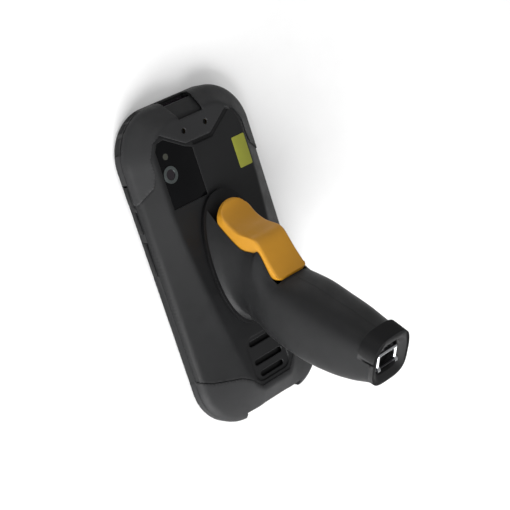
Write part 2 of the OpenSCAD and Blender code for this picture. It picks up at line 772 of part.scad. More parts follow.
// Flared mouth of the end recess
module mouth() at_handle(grip_len + cap_t) translate([0, cap_b, 0]) loft([
    ring3(section(recess_d / 2 + 0.25, recess_w / 2 + 0.25, 4, 56), -1.8),
    ring3(section(recess_d / 2 + 2.8, recess_w / 2 + 2.8, handle_e, 56), 0.4)
]);

module end_cap() color(black) difference() {
    union() {
        at_handle(grip_len) translate([0, cap_b, 0]) linear_extrude(cap_t)
            polygon(section(12.4, 12.6, handle_e, 56));
        recess(recess_w + 2.6, recess_d + 2.6, 6, -recess_depth - 1.8, -1);
        toe(0);
    }
    difference() {
        union() {
            recess(recess_w, recess_d, 5, -recess_depth, 1);
            mouth();
        }
        // shelves that the folded loop rests on
        at_handle(grip_len + cap_t) for (s = [-1, 1])
            box(s * 7.2 - 1.4, s * 7.2 + 1.4, 3.4, recess_d, -recess_depth - 1, bail_pivot[1] - bail_r);
    }
    bail_hole(0.75);
    at_handle(grip_len + cap_t) for (s = [-1, 1]) disc(s * cap_screw[0], cap_screw[1], 1, -20, 20);
}

module end_cap_screws() color(silver) at_handle(grip_len + cap_t) for (s = [-1, 1]) difference() {
    union() {
        disc(s * cap_screw[0], cap_screw[1], 1, -recess_depth - 5, -recess_depth + 0.1);
        disc(s * cap_screw[0], cap_screw[1], 1.8, -recess_depth, -recess_depth + 1.2);
    }
    translate([s * cap_screw[0], cap_screw[1], -recess_depth + 0.6]) cylinder(r = 0.8, h = 2, $fn = 6);
}

module bail_hole(r) at_handle(grip_len + cap_t) x_pin(bail_pivot[0], bail_pivot[1], r, -9, 9);

module bail_pin() color(silver) bail_hole(0.75);

module lanyard_bail() color(silver) difference() {
    at_handle(grip_len + cap_t) translate([0, bail_pivot[0], bail_pivot[1]]) {
        for (s = [-1, 1]) {
            x_pin(0, 0, 1.7, s * bail_half_w - bail_r, s * bail_half_w + bail_r);
            translate([s * bail_half_w, 0, 0]) rotate([-90, 0, 0]) cylinder(r = bail_r, h = bail_len);
            translate([s * bail_half_w, bail_len, 0]) sphere(r = bail_r);
        }
        x_pin(bail_len, 0, bail_r, -bail_half_w, bail_half_w);
    }
    bail_hole(0.8);
}

front_frame();
touch_glass();
display_panel();
mid_chassis();
earpiece_mesh();
earpiece();
front_camera();
main_board();
shield_cans();
io_board();
board_flex();
battery_pack();
scan_engine();
scan_window();
rear_camera_module();
camera_window();
camera_ring();
camera_lens();
flash_led();
speaker();
speaker_mesh();
vibration_motor();
usb_socket();
dock_contacts();
housing_gasket();
rear_housing();
top_bumper();
bottom_bumper();
housing_screws();
strap_inserts();
rating_label();
volume_up_key();
volume_down_key();
left_scan_key();
power_key();
right_scan_key();
key_switches();
back_contacts();
grip_plate();
grip_screws();
grip_left_shell();
grip_right_shell();
shell_screws();
trigger();
trigger_pin();
trigger_spring();
trigger_board();
trigger_switch();
grip_contact_block();
grip_cable();
end_cap();
end_cap_screws();
lanyard_bail();
bail_pin();
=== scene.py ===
import json
import math

import bmesh
import bpy
import numpy as np
from mathutils import Matrix, Vector
from mathutils.geometry import delaunay_2d_cdt

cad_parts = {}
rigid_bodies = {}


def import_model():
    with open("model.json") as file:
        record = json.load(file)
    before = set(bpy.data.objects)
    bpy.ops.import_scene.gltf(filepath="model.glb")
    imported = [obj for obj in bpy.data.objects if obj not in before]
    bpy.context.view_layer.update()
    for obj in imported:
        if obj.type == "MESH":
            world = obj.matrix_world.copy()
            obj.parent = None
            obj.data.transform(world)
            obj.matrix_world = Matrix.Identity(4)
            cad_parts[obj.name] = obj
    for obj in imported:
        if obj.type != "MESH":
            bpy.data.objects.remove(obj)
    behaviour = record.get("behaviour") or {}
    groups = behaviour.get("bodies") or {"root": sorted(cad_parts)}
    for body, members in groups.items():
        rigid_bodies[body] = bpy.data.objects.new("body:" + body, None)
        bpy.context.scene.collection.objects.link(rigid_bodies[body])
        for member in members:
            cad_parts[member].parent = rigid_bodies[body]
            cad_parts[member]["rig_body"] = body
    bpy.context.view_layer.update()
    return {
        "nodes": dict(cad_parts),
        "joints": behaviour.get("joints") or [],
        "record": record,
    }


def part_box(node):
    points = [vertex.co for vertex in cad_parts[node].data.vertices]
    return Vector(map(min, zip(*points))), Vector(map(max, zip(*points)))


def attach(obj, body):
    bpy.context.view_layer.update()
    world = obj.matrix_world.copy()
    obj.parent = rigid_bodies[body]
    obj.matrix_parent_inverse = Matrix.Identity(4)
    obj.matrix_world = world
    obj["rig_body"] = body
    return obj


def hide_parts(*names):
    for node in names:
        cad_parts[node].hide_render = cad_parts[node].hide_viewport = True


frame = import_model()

# Everything below is worked out in millimetres in the CAD frame and turned into metres at the end.
MM = 0.001


def node_mm(name):
    lo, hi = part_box(name)
    return np.array(lo) / MM, np.array(hi) / MM


# ---------------------------------------------------------------- slab
# The bumpers stand PROUD of the back and sit in a bed of depth BED; PARTING is where the halves meet.
HALF_W, HALF_L, PARTING = node_mm("front_frame")[1]
BACK = node_mm("rear_housing")[1][2]
PROUD = node_mm("top_bumper")[1][2] - BACK
BED = 1.1
TOP_R, BOTTOM_R = 24.0, 23.5
# Flat panel of the back: half width, both ends, corner radii; it narrows towards the charging end.
PANEL = (28.5, -70.0, 73.0, 10.0, 16.0)
NARROW_BY, NARROW_FROM, NARROW_LEN = 10.5, 40, 85
# Inner edges of the bumpers, from the long side inwards.
TOP_EDGE = [
    (41.0, 41.0), (32.5, 46.7), (30.5, 53.0), (30.5, 60.0), (27.0, 66.5), (22.0, 69.0), (8.3, 60.4),
]
BOTTOM_EDGE = [(41.0, -52.0), (34.0, -55.5), (19.7, -59.3), (14.8, -62.4), (10.0, -67.6)]
WINDOW = [(-27, 33), (-4.8, 33), (-4.8, 57.5), (-9, 59.2), (-20.5, 66.4), (-25, 65.7), (-27, 62.5)]
GROOVE = [(22, 69), (8.3, 60.4), (-4, 60.4), (-4, 58.2), (9.1, 58.2), (24, 67.4)]
NOTCH_IN, NOTCH_OUT, NOTCH_Y = 7.8, 9.6, 72.2
SCAN_HALF, SCAN_Y, SCAN_TOP = 9.0, 79.6, 8.4
DOCK_HALF, DOCK_Y = 19.5, 3.1 - HALF_L
STRAPS = next(m for m in frame["record"]["mounts"] if m["name"] == "strap_screws")
STRAP_X = STRAPS["dims"]["spacing_x_mm"] / 2
STRAP_Y = STRAPS["pos_m"][1] / MM
STRAP_R = STRAPS["dims"]["hole_r_mm"]
# Speaker slots (middle, width) in a shallow recess (width, both ends, corner radius).
SLOTS = [(-46.0, 19.0), (-56.0, 19.0), (-62.5, 16.0)]
SLOT_H, SLOT_END_R = 2.8, 1.35
RECESS = (24, -65.8, -42.5, 5)
RECESS_DEPTH, GROOVE_DEPTH = 0.7, 1.3
HOUSING_T, HOUSING_EDGE_R = 1.9, 0.3
BUMPER_T, BUMPER_EDGE_R, BUMPER_LOW = 1.3, 0.4, 1.5
# Pockets between the ribs round the top corners: angles, depth and height.
POCKETS = [(20, 40), (46, 59), (62, 80)]
POCKET_DEPTH, POCKET_LOW, POCKET_HIGH = 1.0, 2.6, 8.9
SILL_TOP, SILL_DEPTH, SILL_OVERLAP = 3.2, 1.4, 0.6
KEY_GAP = 0.2
WINDOW_HOLES = {"camera_ring": 3.1, "flash_led": 1.55}
ROUND = 42  # edges sharper than this stay sharp on the moulded skins

# ---------------------------------------------------------------- grip
# The handle's axis starts at GRIP in the middle plane and leans by TILT.
TILT = math.radians(29.3)
GRIP = (-25.3, 46.6)
GRIP_LEN = 60.0
PIVOT = np.array(next(j for j in frame["joints"] if j["name"] == "trigger_pull")["pos_m"]) / MM
# Half depth, half width and shift of the section, against distance along the handle.
DEPTH_AT = [(0, 17.2), (13, 18.0), (26, 17.7), (39, 16.6), (50, 14.6), (60, 12.3), (65, 11.6)]
WIDTH_AT = [(0, 16.0), (13, 16.8), (26, 16.4), (39, 15.4), (50, 13.9), (60, 12.5), (65, 12.0)]
SHIFT_AT = [(0, -2.1), (13, -1.9), (26, -2.1), (39, -1.5), (50, -0.6), (60, 1.2), (65, 1.6)]
# Sections below the handle: y, z, tilt in degrees, half depth, half width, squareness.
NECK = [
    (-1.5, 19.2, 0, 33.5, 17, 2.2),
    (-5.5, 23.6, 7, 27, 15, 2.2),
    (-11, 29.5, 18, 23.5, 13.8, 2.3),
    (-14.1, 34.7, 23, 22.2, 14, 3.2),
    (-14.3, 37.3, 25, 23.1, 14.2, 3.2),
    (-16.4, 39, 26, 21.8, 14.5, 3.2),
    (-23.1, 42.1, 28, 18, 15.3, 3.2),
]
HANDLE_E = 3.2
GRIP_T = 2.2
SEAM = 0.06
HALF_STEPS = 56
# The trigger's slot: a disc round the pivot, kept to what lies in front of SLOT_FRONT (y, z).
SLOT_R, SLOT_HALF = 35.6, 10.3
SLOT_FRONT = [(-2, 30), (-17, 48), (-17, 90), (60, 90)]
# The end cap's toe: distance along the handle, half depth, half width; where its front part begins.
TOE = ((53.3, 14.8, 13.9), (66.0, 13.9, 12.9))
TOE_SHIFT, TOE_FRONT = 1.2, 2.1
SCREW_HEAD_R, SCREW_SHANK_R, SCREW_SEAT_X = 2.3, 1.1, 8

# ---------------------------------------------------------------- trigger
TRIGGER_HALF = 9.9
TRIGGER_EDGE_R, TRIGGER_END_R = 1.5, 4.0
TIP_Y = 18.5
PIN_BORE = 1.3
# Spring bore: along the handle, in front of its axis, length, radius.
SEAT_K, SEAT_B, SEAT_LEN, SEAT_R = -12.6, 6.0, 12.9, 2.9
# Side view of the trigger, from the tip over the finger side, and back along the inside.
TRIGGER_FRONT = [
    (28.3, 24.3), (28, 25), (27, 25.6), (24.4, 26.3), (21.2, 27.9), (18.2, 30.1), (15.8, 32.7),
    (13.8, 35.6), (12.4, 39), (11.4, 42.2), (10.3, 44.8), (8.6, 46.6), (6.2, 47.8), (2.8, 48.9),
    (-1.6, 50.4), (-6, 52.2), (-9.4, 53.7), (-10.6, 54.2),
]
TRIGGER_BACK = [
    (-11.9, 53.4), (-12.2, 51.4), (-10.4, 49), (-6.2, 46.6), (-3, 43), (0, 38), (2.5, 32),
    (4, 27.4), (5.2, 24.6), (8, 22.9), (14, 22.9), (24, 23.5), (27.8, 24),
]


# ---------------------------------------------------------------- materials


def nodes_of(mat):
    mat.use_nodes = True
    tree = mat.node_tree
    tree.nodes.clear()
    out = tree.nodes.new("ShaderNodeOutputMaterial")
    bsdf = tree.nodes.new("ShaderNodeBsdfPrincipled")
    tree.links.new(bsdf.outputs[0], out.inputs[0])
    return tree, bsdf


def noise(tree, coords, scale, detail=3.0, rough=0.5):
    n = tree.nodes.new("ShaderNodeTexNoise")
    n.inputs["Scale"].default_value = scale
    n.inputs["Detail"].default_value = detail
    n.inputs["Roughness"].default_value = rough
    tree.links.new(coords, n.inputs["Vector"])
    return n.outputs["Fac"]


def ramp(tree, fac, stops):
    n = tree.nodes.new("ShaderNodeValToRGB")
    while len(n.color_ramp.elements) < len(stops):
        n.color_ramp.elements.new(0.5)
    for e, (pos, col) in zip(n.color_ramp.elements, stops):
        e.position = pos
        e.color = (*col, 1.0) if len(col) == 3 else col
    tree.links.new(fac, n.inputs[0])
    return n.outputs[0]


def spread(tree, fac, low, high):
    n = tree.nodes.new("ShaderNodeMapRange")
    n.inputs["From Min"].default_value = 0.3
    n.inputs["From Max"].default_value = 0.7
    n.inputs["To Min"].default_value = low
    n.inputs["To Max"].default_value = high
    tree.links.new(fac, n.inputs["Value"])
    return n.outputs[0]


def bumped(tree, bsdf, fac, strength, distance):
    n = tree.nodes.new("ShaderNodeBump")
    n.inputs["Strength"].default_value = strength
    n.inputs["Distance"].default_value = distance
    tree.links.new(fac, n.inputs["Height"])
    tree.links.new(n.outputs[0], bsdf.inputs["Normal"])


def moulded(name, color, rough=0.5, grain=2600.0, bump=0.12, vary=0.12, spec=0.45):
    """Moulded plastic or rubber: spark-eroded grain, slow colour drift and handling sheen."""
    mat = bpy.data.materials.new(name)
    tree, bsdf = nodes_of(mat)
    coords = tree.nodes.new("ShaderNodeTexCoord").outputs["Object"]
    drift = noise(tree, coords, 45.0, 4.0)
    dark = tuple(c * (1 - vary) for c in color)
    light = tuple(min(1.0, c * (1 + vary)) for c in color)
    tree.links.new(ramp(tree, drift, [(0.3, dark), (0.7, light)]), bsdf.inputs["Base Color"])
    wipe = noise(tree, coords, 160.0, 5.0, 0.6)
    tree.links.new(spread(tree, wipe, rough - 0.06, rough + 0.06), bsdf.inputs["Roughness"])
    bsdf.inputs["Specular IOR Level"].default_value = spec
    fine = noise(tree, coords, grain, 2.0, 0.6)
    bumped(tree, bsdf, fine, bump, 0.0001)
    return mat


def metal(name, color, rough=0.25, brush=900.0, bump=0.05):
    """Metal with drawn or turned marks and uneven polish."""
    mat = bpy.data.materials.new(name)
    tree, bsdf = nodes_of(mat)
    coords = tree.nodes.new("ShaderNodeTexCoord").outputs["Object"]
    marks = noise(tree, coords, brush, 4.0, 0.65)
    dark = tuple(c * 0.82 for c in color)
    tree.links.new(ramp(tree, marks, [(0.3, dark), (0.7, color)]), bsdf.inputs["Base Color"])
    bsdf.inputs["Metallic"].default_value = 1.0
    polish = noise(tree, coords, 120.0, 4.0)
    tree.links.new(spread(tree, polish, rough * 0.7, rough * 1.5), bsdf.inputs["Roughness"])
    bumped(tree, bsdf, marks, bump, 0.00005)
    return mat


def gloss(name, color, rough=0.05, clear=0.0, coat=0.6, spec=0.5):
    """Glossy cover: near-black lacquer or glass with faint wipe marks."""
    mat = bpy.data.materials.new(name)
    tree, bsdf = nodes_of(mat)
    coords = tree.nodes.new("ShaderNodeTexCoord").outputs["Object"]
    drift = noise(tree, coords, 70.0, 3.0)
    dark = tuple(c * 0.8 for c in color)
    tree.links.new(ramp(tree, drift, [(0.3, dark), (0.7, color)]), bsdf.inputs["Base Color"])
    wipe = noise(tree, coords, 220.0, 5.0, 0.7)
    tree.links.new(spread(tree, wipe, rough * 0.7, rough * 1.8), bsdf.inputs["Roughness"])
    bsdf.inputs["Coat Weight"].default_value = coat
    bsdf.inputs["Specular IOR Level"].default_value = spec
    bsdf.inputs["Coat Roughness"].default_value = 0.03
    bsdf.inputs["Transmission Weight"].default_value = clear
    slow = noise(tree, coords, 30.0, 1.0)
    bumped(tree, bsdf, slow, 0.02, 0.0005)
    return mat


MATS = {
    "dark_steel": metal("blackened_pin", (0.03, 0.03, 0.033), 0.4, 900),
    "charcoal_shell": moulded(
        "shell_charcoal", (0.0072, 0.0074, 0.0079), 0.5, grain=2400, bump=0.3, spec=0.24
    ),
    "bumper_rubber": moulded(
        "bumper_soft", (0.0145, 0.0147, 0.0155), 0.58, grain=3200, bump=0.22, vary=0.1, spec=0.28
    ),
    "black_plastic": moulded(
        "black_satin", (0.0042, 0.0042, 0.0046), 0.45, grain=2800, bump=0.15, vary=0.15, spec=0.2
    ),
    "screen_glass": gloss("cover_glass", (0.008, 0.009, 0.011), 0.06),
    "window_gloss": gloss("lacquer_black", (0.0025, 0.0026, 0.003), 0.12, coat=0.0, spec=0.12),
    "clear_glass": gloss("tinted_glass", (0.012, 0.008, 0.012), 0.05, clear=0.3, coat=0.1, spec=0.4),
    "display_sheet": gloss("display_dark", (0.01, 0.012, 0.016), 0.2),
    "flash_lens": moulded(
        "flash_diffuser", (0.03, 0.031, 0.024), 0.25, grain=3000, bump=0.35, vary=0.08
    ),
    "orange_trigger": moulded("orange_plastic", (0.43, 0.2, 0.014), 0.45, bump=0.16, vary=0.06, spec=0.3),
    "olive_label": moulded(
        "olive_film", (0.22, 0.23, 0.03), 0.5, grain=1800, bump=0.1, vary=0.1, spec=0.3
    ),
    "steel": metal("machined_steel", (0.55, 0.56, 0.58), 0.28),
    "bright_wire": metal("polished_wire", (0.6, 0.61, 0.63), 0.2, 700, bump=0.04),
    "ring_metal": metal("turned_ring", (0.16, 0.18, 0.18), 0.3, 1500),
    "chassis_alloy": metal("cast_alloy", (0.42, 0.43, 0.45), 0.45, 500),
    "gold_contact": metal("gold_plate", (0.75, 0.53, 0.2), 0.25),
    "board": moulded("solder_mask", (0.012, 0.1, 0.04), 0.35, grain=1500, bump=0.2, vary=0.2),
    "flex_film": moulded("polyimide", (0.42, 0.19, 0.03), 0.3, grain=1200, bump=0.1, vary=0.15),
    "battery_wrap": moulded("battery_film", (0.07, 0.09, 0.12), 0.4, grain=900, bump=0.2, vary=0.15),
    "seal_rubber": moulded("seal_silicone", (0.012, 0.012, 0.013), 0.6, grain=1800, bump=0.15),
}
for sub in frame["record"]["subparts"]:
    mesh = frame["nodes"][sub["node"]].data
    mesh.materials.clear()
    mesh.materials.append(MATS[sub["material_slot"]])
SLOT_OF = {sub["node"]: sub["material_slot"] for sub in frame["record"]["subparts"]}


# ---------------------------------------------------------------- mesh helpers


def new_piece(name, verts, faces, body, slot, replaces=(), sharp=40.0):
    mesh = bpy.data.meshes.new(name)
    mesh.from_pydata([tuple(c * MM for c in v) for v in verts], [], faces)
    mesh.validate()
    mesh.update()
    obj = bpy.data.objects.new(name, mesh)
    bpy.context.scene.collection.objects.link(obj)
    finish_piece(obj, body, slot, replaces, sharp)
    return obj


def finish_piece(obj, body, slot, replaces=(), sharp=40.0):
    obj.data.materials.clear()
    obj.data.materials.append(MATS[slot])
    smooth(obj, sharp)
    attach(obj, body)
    if replaces:
        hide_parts(*replaces)


def smooth(obj, angle):
    mesh = obj.data
    mesh.polygons.foreach_set("use_smooth", [True] * len(mesh.polygons))
    mesh.set_sharp_from_angle(angle=math.radians(angle))


def apply_modifiers(obj):
    bpy.context.view_layer.update()
    graph = bpy.context.evaluated_depsgraph_get()
    mesh = bpy.data.meshes.new_from_object(obj.evaluated_get(graph))
    obj.modifiers.clear()
    old = obj.data
    obj.data = mesh
    bpy.data.meshes.remove(old)


def solid(obj, thickness):
    m = obj.modifiers.new("thick", "SOLIDIFY")
    m.thickness = thickness * MM
    m.offset = -1
    apply_modifiers(obj)


def discard(obj):
    mesh = obj.data
    bpy.data.objects.remove(obj)
    bpy.data.meshes.remove(mesh)


def cut(obj, tools, operation="DIFFERENCE"):
    """Cuts the tools from a piece and throws them away."""
    for tool in tools:
        m = obj.modifiers.new("cut", "BOOLEAN")
        m.operation = operation
        m.solver = "EXACT"
        m.object = tool
    apply_modifiers(obj)
    for tool in tools:
        discard(tool)


def bevel(obj, width, angle=35.0, segments=2):
    m = obj.modifiers.new("edge", "BEVEL")
    m.width = width * MM
    m.segments = segments
    m.limit_method = "ANGLE"
    m.angle_limit = math.radians(angle)
    m.harden_normals = False
    m.use_clamp_overlap = True
    apply_modifiers(obj)


def face_outwards(mesh):
    bm = bmesh.new()
    bm.from_mesh(mesh)
    bmesh.ops.recalc_face_normals(bm, faces=bm.faces)
    bm.to_mesh(mesh)
    bm.free()


def loose(name, verts, faces):
    """A closed mesh that rides on no body yet: a cutting tool or a blank."""
    mesh = bpy.data.meshes.new(name)
    mesh.from_pydata([tuple(c * MM for c in v) for v in verts], [], faces)
    face_outwards(mesh)
    obj = bpy.data.objects.new(name, mesh)
    bpy.context.scene.collection.objects.link(obj)
    return obj


def loft_faces(rows, cols, caps=True):
    """Quads between closed rows of points, with a face over each end."""
    faces = []
    for k in range(rows - 1):
        for i in range(cols):
            j = (i + 1) % cols
            faces.append((k * cols + i, k * cols + j, (k + 1) * cols + j, (k + 1) * cols + i))
    if caps:
        faces.append(tuple(reversed(range(cols))))
        faces.append(tuple((rows - 1) * cols + i for i in range(cols)))
    return faces


def rounded(node, name, width, sharp=30.0, angle=35.0, segments=2):
    """A CAD node's solid with its edges rounded over, standing for that node."""
    src = frame["nodes"][node]
    obj = bpy.data.objects.new(name, src.data.copy())
    bpy.context.scene.collection.objects.link(obj)
    bm = bmesh.new()
    bm.from_mesh(obj.data)
    bmesh.ops.remove_doubles(bm, verts=bm.verts, dist=2e-6)
    bmesh.ops.dissolve_limit(bm, angle_limit=math.radians(0.6), verts=bm.verts, edges=bm.edges)
    bm.to_mesh(obj.data)
    bm.free()
    bevel(obj, width, angle, segments)
    finish_piece(obj, src["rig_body"], SLOT_OF[node], (node,), sharp)
    return obj


def resample(loop, step):
    """Points round a closed loop no further apart than step, corners kept."""
    out = []
    for i, start in enumerate(loop):
        a, b = np.array(start, float), np.array(loop[(i + 1) % len(loop)], float)
        k = max(1, int(math.ceil(np.linalg.norm(b - a) / step)))
        out += [tuple(a + (b - a) * t / k) for t in range(k)]
    return out


def arc(cx, cy, r, a0, a1, step=1.2):
    """Points round (cx, cy) from angle a0 to a1, both in degrees."""
    n = max(2, int(abs(math.radians(a1 - a0)) * r / step))
    angles = [math.radians(a0 + (a1 - a0) * i / n) for i in range(n + 1)]
    return [(cx + r * math.cos(a), cy + r * math.sin(a)) for a in angles]


def mirrored(points):
    return list(points) + [(-x, y) for x, y in reversed(points)]


# ---------------------------------------------------------------- height of the back


def rect_sd(x, y, hw, y0, y1, r0, r1):
    """Signed distance to a rectangle with round corners, negative inside."""
    mid, hy = (y0 + y1) / 2, (y1 - y0) / 2
    r = np.where(y > mid, r1, r0)
    qx, qy = np.abs(x) - (hw - r), np.abs(y - mid) - (hy - r)
    return np.hypot(np.maximum(qx, 0), np.maximum(qy, 0)) + np.minimum(np.maximum(qx, qy), 0) - r


def taper(y):
    return 1 - NARROW_BY / PANEL[0] * (np.maximum(0, NARROW_FROM - y) / NARROW_LEN) ** 1.5


def panel_sd(x, y):
    def warped(px, py):
        return rect_sd(px / taper(py), py, *PANEL)

    e = 0.05
    gx = (warped(x + e, y) - warped(x - e, y)) / (2 * e)
    gy = (warped(x, y + e) - warped(x, y - e)) / (2 * e)
    return warped(x, y) / np.maximum(np.hypot(gx, gy), 0.5)


def body_sd(x, y):
    return rect_sd(x, y, HALF_W, -HALF_L, HALF_L, BOTTOM_R, TOP_R)


# Height of the slope against the share of the way from the outline to the panel.
LEVELS = [(0, 7.0), (0.035, 8.4), (0.11, 9.7), (0.85, BACK - 1), (0.95, BACK - 0.25), (1, BACK)]


def softened(levels):
    """The slope with its corners smoothed, all but the lowest, as shares and heights."""
    share = np.linspace(-0.2, 1.2, 1401)
    z = np.interp(share, [a for a, b in levels], [b for a, b in levels])
    kernel = np.exp(-0.5 * (np.linspace(-3, 3, 61)) ** 2)
    soft = np.convolve(z, kernel / kernel.sum(), mode="same")
    return share, np.where(share < 0.06, z, np.where(share > 1.05, BACK, soft))


SLOPE = softened(LEVELS)


def height(x, y, grow=0.0):
    """Height of the back's skin, grown outwards by grow."""
    x, y = np.asarray(x, float), np.asarray(y, float)
    outside = np.maximum(-body_sd(x, y) + grow, 0)
    inside = np.maximum(panel_sd(x, y) - grow / 2, 0)
    f = outside / np.maximum(outside + inside, 1e-6)
    return np.interp(f, *SLOPE) + grow


def sides(loop):
    """The sides of a closed loop of points."""
    return list(zip(loop, loop[1:] + loop[:1]))


def distance(x, y, segments):
    """Distance from points to the nearest of some segments."""
    x, y = np.asarray(x, float), np.asarray(y, float)
    best = np.full(x.shape, 1e9)
    for (ax, ay), (bx, by) in segments:
        dx, dy = bx - ax, by - ay
        t = np.clip(((x - ax) * dx + (y - ay) * dy) / max(dx * dx + dy * dy, 1e-9), 0, 1)
        best = np.minimum(best, np.hypot(x - ax - t * dx, y - ay - t * dy))
    return best


def inside(x, y, poly):
    """Whether points lie within a closed loop."""
    x, y = np.asarray(x, float), np.asarray(y, float)
    hit = np.zeros(x.shape, bool)
    n = len(poly)
    for i in range(n):
        ax, ay = poly[i]
        bx, by = poly[(i + 1) % n]
        crosses = (ay > y) != (by > y)
        with np.errstate(divide="ignore", invalid="ignore"):
            xi = (bx - ax) * (y - ay) / (by - ay) + ax
        hit ^= crosses & (x < xi)
    return hit


def drop(d, r):
    """How far a rounded edge of radius r lies below the face at distance d from it."""
    d = np.clip(d, 0, r)
    return r - np.sqrt(np.maximum(r * r - (r - d) ** 2, 0))


def step_down(d, width):
    """0 outside an edge, 1 inside, smooth over width; d is positive inside."""
    t = np.clip(d / width + 0.5, 0, 1)
    return t * t * (3 - 2 * t)


def edge_points(loop):
    """Points beside a loop on both sides, with each one's distance, so that its rounded edge is meshed."""
    points = []
    for i, ((px, py), (qx, qy)) in enumerate(sides(loop)):
        length = math.hypot(qx - px, qy - py)
        if length < 1e-6:
            continue
        nx, ny = -(qy - py) / length, (qx - px) / length
        starts = ((px, py), ((px + qx) / 2, (py + qy) / 2))
        for d in (0.08, 0.2, 0.36, 0.6, 0.95):
            sx, sy = starts[(i + int(d * 50)) % 2]
            points += [(sx + nx * d, sy + ny * d, d), (sx - nx * d, sy - ny * d, d)]
    return points


def nearest(a, b):
    """Distance from each point of a to the nearest point of b."""
    out = np.full(len(a), 1e9)
    for k in range(0, len(b), 200):
        chunk = b[k:k + 200]
        d = np.hypot(a[:, None, 0] - chunk[None, :, 0], a[:, None, 1] - chunk[None, :, 1]).min(1)
        out = np.minimum(out, d)
    return out


def staggered_grid(loop, spacing):
    arr = np.array(loop)
    xs = np.arange(arr[:, 0].min(), arr[:, 0].max(), spacing)
    ys = np.arange(arr[:, 1].min(), arr[:, 1].max(), spacing * 0.87)
    gx, gy = np.meshgrid(xs, ys)
    gx = gx + (np.arange(len(ys)) % 2)[:, None] * spacing / 2
    return np.stack([gx.ravel(), gy.ravel()], 1)


def region_mesh(loops, extra):
    """Triangles over the first loop less the others: points, faces and where each input point went."""
    spacing = 1.1

    def within(x, y):
        hit = inside(x, y, loops[0])
        for hole in loops[1:]:
            hit &= ~inside(x, y, hole)
        return hit

    def from_loops(x, y):
        return np.minimum.reduce([distance(x, y, sides(loop)) for loop in loops])

    beside = np.array([q for loop in loops for q in edge_points(loop)])
    far_enough = from_loops(beside[:, 0], beside[:, 1]) > beside[:, 2] * 0.93
    ring = beside[within(beside[:, 0], beside[:, 1]) & far_enough][:, :2]
    points = staggered_grid(loops[0], spacing)
    gap = np.full(len(points), 1.35)
    if len(extra):
        extra = np.array(extra, float)
        points = points[nearest(points, extra) > spacing * 0.45]
        gap = np.concatenate([np.full(len(points), 1.35), np.full(len(extra), 1.05)])
        points = np.concatenate([points, extra])
    keep = within(points[:, 0], points[:, 1]) & (from_loops(points[:, 0], points[:, 1]) > gap)
    coords, edges = [], []
    for loop in loops:
        base = len(coords)
        coords += [Vector(q) for q in loop]
        edges += [(base + i, base + (i + 1) % len(loop)) for i in range(len(loop))]
    coords += [Vector((float(x), float(y))) for x, y in np.concatenate([ring, points[keep]])]
    found, _, triangles, sources, _, _ = delaunay_2d_cdt(coords, edges, [], 0, 1e-7)
    xy = np.array([(v.x, v.y) for v in found])
    middles = np.array([(xy[f[0]] + xy[f[1]] + xy[f[2]]) / 3 for f in triangles])
    faces = [tuple(f) for f, ok in zip(triangles, within(middles[:, 0], middles[:, 1])) if ok]
    went_to = {source: i for i, group in enumerate(sources) for source in group}
    return xy, faces, went_to


def outline_normal(x, y, grow):
    """Direction out of the slab at a point of its outline; none at a point off the outline."""
    if abs(float(body_sd(x, y)) - grow) > 0.05:
        return 0.0, 0.0
    e = 0.05
    nx = float(body_sd(x + e, y) - body_sd(x - e, y))
    ny = float(body_sd(x, y + e) - body_sd(x, y - e))
    length = math.hypot(nx, ny)
    return nx / length, ny / length


def flat(*_):
    return 0.0


def skin(outer, is_wall, holes, grow, edge_r, low_at, extra=(), shape=flat, wall_shape=flat):
    """Open skin over a region of the back, with the side wall below the part of its edge that is outline.

    outer: loop of points; is_wall(x, y): whether a loop point lies on the outline; holes: list of loops;
    low_at(x, y): foot of the wall; extra: more points to mesh through; shape(x, y): added to the height;
    wall_shape(x, y, z): how far the wall is pushed in."""
    loops = [resample(outer, 0.9)] + [resample(hole, 0.45) for hole in holes]
    loop = loops[0]
    n = len(loop)
    walled = [is_wall(x, y) for x, y in loop]
    cuts = [side for i, side in enumerate(sides(loop)) if not (walled[i] and walled[(i + 1) % n])]
    for hole in loops[1:]:
        cuts += sides(hole)
    xy, faces, went_to = region_mesh(loops, extra)
    x, y = xy[:, 0], xy[:, 1]
    z = height(x, y, grow) - drop(distance(x, y, cuts), edge_r) + shape(x, y)
    verts = [(a, b, c) for (a, b), c in zip(xy, z)]
    ends = [i for i in range(n) if walled[i] and not (walled[i - 1] and walled[(i + 1) % n])]
    columns = {}
    for i in range(n):
        if not walled[i]:
            continue
        px, py = loop[i]
        nx, ny = outline_normal(px, py, grow)
        low = low_at(px, py)
        along = min([math.hypot(px - loop[k][0], py - loop[k][1]) for k in ends] or [9.0])
        top = verts[went_to[i]][2]
        columns[i] = [went_to[i]]
        for share in np.linspace(0, 1, 15)[1:]:
            level = top + (low - top) * share
            push = float(drop(along, edge_r)) + float(drop(level - low, edge_r)) + wall_shape(px, py, level)
            verts.append((px - nx * push, py - ny * push, level))
            columns[i].append(len(verts) - 1)
    for i in range(n):
        j = (i + 1) % n
        if i in columns and j in columns:
            a, b = columns[i], columns[j]
            faces += [(a[k], a[k + 1], b[k + 1], b[k]) for k in range(len(a) - 1)]
    return verts, faces


def both_sides(loop, offsets, step=0.8):
    """Points just inside and outside a closed loop, to mesh a step through."""
    points = []
    for (ax, ay), (bx, by) in sides(resample(loop, step)):
        length = math.hypot(bx - ax, by - ay)
        nx, ny = -(by - ay) / length, (bx - ax) / length
        points += [(ax + nx * o, ay + ny * o) for o in offsets]
    return points


def round_rect(width, y0, y1, r):
    """Rectangle with round corners, on the middle line of the slab."""
    hw = width / 2
    corners = ((hw - r, y1 - r), (r - hw, y1 - r), (r - hw, y0 + r), (hw - r, y0 + r))
    return [q for i, (x, y) in enumerate(corners) for q in arc(x, y, r, 90 * i, 90 * i + 90, 0.5)]


